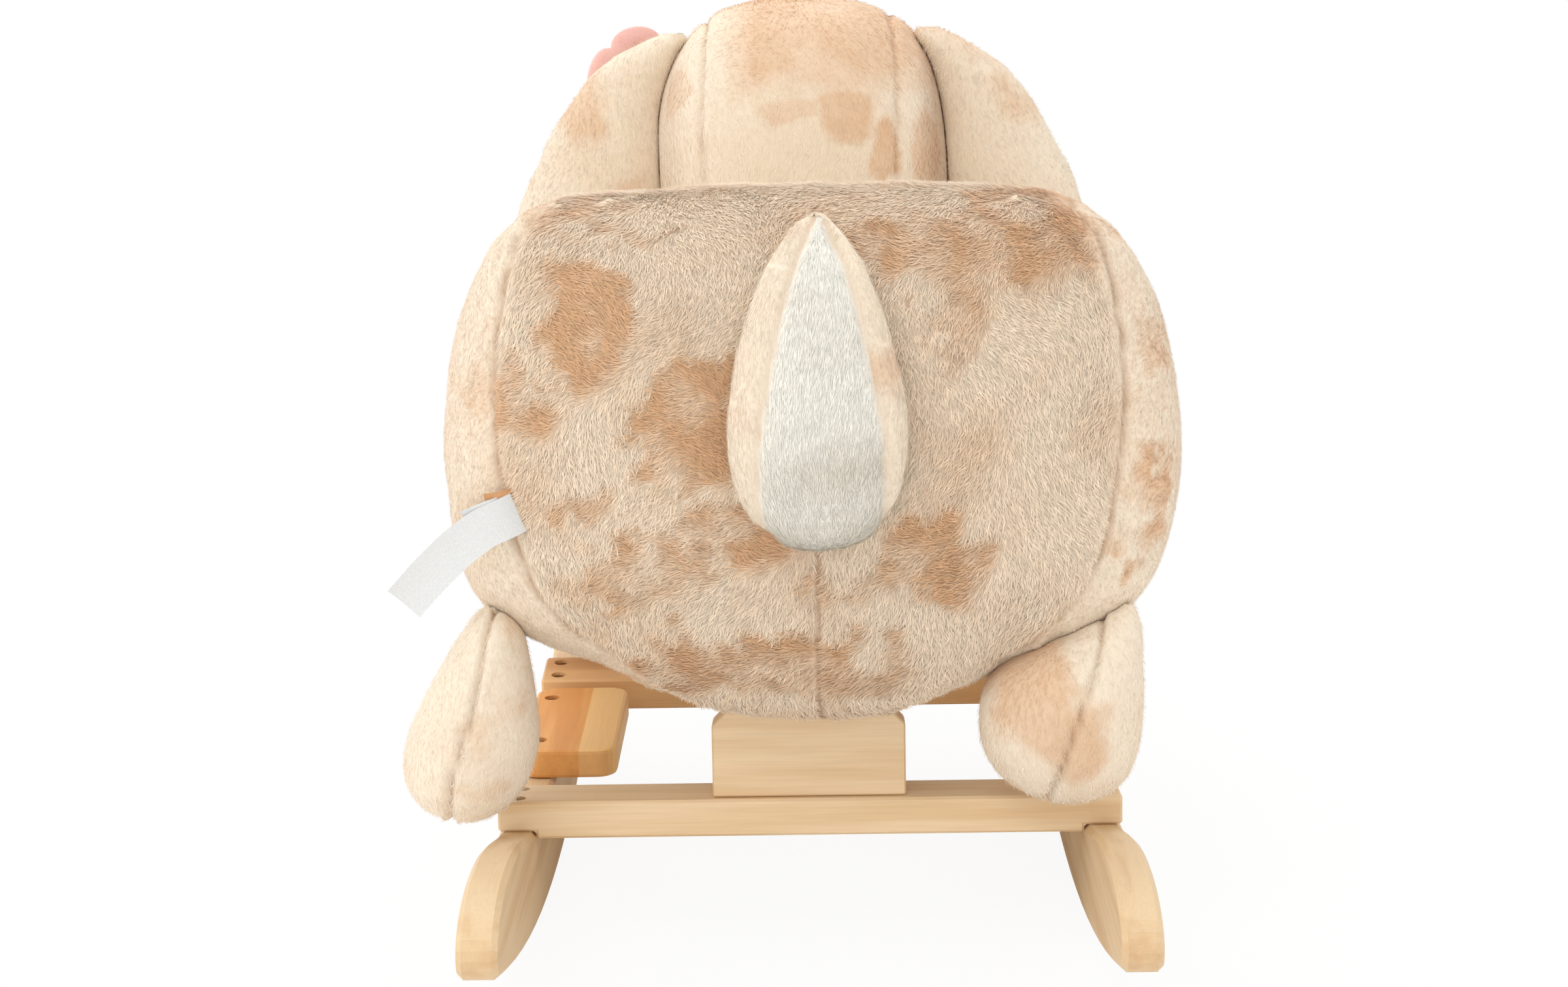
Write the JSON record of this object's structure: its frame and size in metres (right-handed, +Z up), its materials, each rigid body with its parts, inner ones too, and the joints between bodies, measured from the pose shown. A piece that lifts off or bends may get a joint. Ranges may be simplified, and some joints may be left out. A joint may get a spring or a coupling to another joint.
{
  "type": "plush rocking animal",
  "caption": "Stuffed lop-eared rabbit with a hollow seat and raised backrest on a wooden rocker base with curved runners, crossbars and footrests.",
  "frame": {"origin": "on the floor under the middle of the whole toy's width and length", "axes": "the animal faces -Y, +Y towards its tail, +X its left side, +Z up"},
  "size_m": [0.3774, 0.584, 0.433],
  "materials": {
    "pine": "smooth unpainted wood, matt",
    "warm_wood": "smooth unpainted wood of a warmer tone, matt",
    "plywood": "raw plywood, hidden",
    "screw_steel": "plain countersunk screws",
    "beige_plush": "short pile plush, longer on the back",
    "cream_plush": "cream short pile plush",
    "pink_fabric": "pale pink fleece",
    "nose_thread": "padded satin stitch",
    "eye_plastic": "gloss",
    "label_ribbon": "bare white satin ribbon",
    "tag_ribbon": "bare tan ribbon"
  },
  "bodies": {
    "body": {"runner_left": "pine", "runner_right": "pine", "rear_crossbar": "pine", "front_crossbar": "pine", "rear_upright": "pine", "front_upright": "pine", "handle_bar": "pine", "handle_knob_left": "pine", "handle_knob_right": "pine", "footrest_left": "warm_wood", "footrest_right": "warm_wood", "seat_board": "plywood", "back_board": "plywood", "neck_board": "plywood", "crossbar_screw_1": "screw_steel", "crossbar_screw_2": "screw_steel", "crossbar_screw_3": "screw_steel", "crossbar_screw_4": "screw_steel", "crossbar_screw_5": "screw_steel", "crossbar_screw_6": "screw_steel", "crossbar_screw_7": "screw_steel", "crossbar_screw_8": "screw_steel", "footrest_screw_1": "screw_steel", "footrest_screw_2": "screw_steel", "footrest_screw_3": "screw_steel", "footrest_screw_4": "screw_steel", "upright_screw_1": "screw_steel", "upright_screw_2": "screw_steel", "upright_screw_3": "screw_steel", "upright_screw_4": "screw_steel", "board_screw_1": "screw_steel", "board_screw_2": "screw_steel", "board_screw_3": "screw_steel", "board_screw_4": "screw_steel", "rump_cushion": "beige_plush", "seat_cushion": "beige_plush", "chest_cushion": "beige_plush", "bolster_left": "beige_plush", "bolster_right": "beige_plush", "head": "beige_plush", "muzzle": "cream_plush", "nose": "nose_thread", "eye_left": "eye_plastic", "eye_right": "eye_plastic", "care_label_long": "label_ribbon", "care_label_short": "label_ribbon", "seam_tag": "tag_ribbon"},
    "ear_left_body": {"ear_left": "beige_plush", "flower_petals": "pink_fabric", "flower_centre": "cream_plush"},
    "ear_right_body": {"ear_right": "beige_plush"},
    "tail_body": {"tail": "cream_plush"},
    "rear_leg_left_body": {"rear_leg_left": "beige_plush"},
    "rear_leg_right_body": {"rear_leg_right": "beige_plush"},
    "front_leg_left_body": {"front_leg_left": "beige_plush"},
    "front_leg_right_body": {"front_leg_right": "beige_plush"}
  },
  "joints": [
    {"name": "ear_left_swing", "type": "hinge", "parent": "body", "child": "ear_left_body", "pos_m": [0.07465, -0.178, 0.407], "axis": [0, -1, 0], "range_deg": [0, 60]},
    {"name": "ear_right_swing", "type": "hinge", "parent": "body", "child": "ear_right_body", "pos_m": [-0.1011, -0.178, 0.407], "axis": [0, 1, 0], "range_deg": [0, 60]},
    {"name": "tail_swing", "type": "hinge", "parent": "body", "child": "tail_body", "pos_m": [-0.01622, 0.2008, 0.224], "axis": [-1, 0, 0], "range_deg": [0, 75]},
    {"name": "rear_leg_left_swing", "type": "hinge", "parent": "body", "child": "rear_leg_left_body", "pos_m": [0.13978, 0.143, 0.14905], "axis": [0, -1, 0], "range_deg": [0, 35]},
    {"name": "rear_leg_right_swing", "type": "hinge", "parent": "body", "child": "rear_leg_right_body", "pos_m": [-0.15922, 0.144, 0.14017], "axis": [0, 1, 0], "range_deg": [0, 35]},
    {"name": "front_leg_left_swing", "type": "hinge", "parent": "body", "child": "front_leg_left_body", "pos_m": [0.11478, -0.134, 0.12758], "axis": [0, -1, 0], "range_deg": [0, 40]},
    {"name": "front_leg_right_swing", "type": "hinge", "parent": "body", "child": "front_leg_right_body", "pos_m": [-0.14122, -0.134, 0.12276], "axis": [0, 1, 0], "range_deg": [0, 40]}
  ]
}
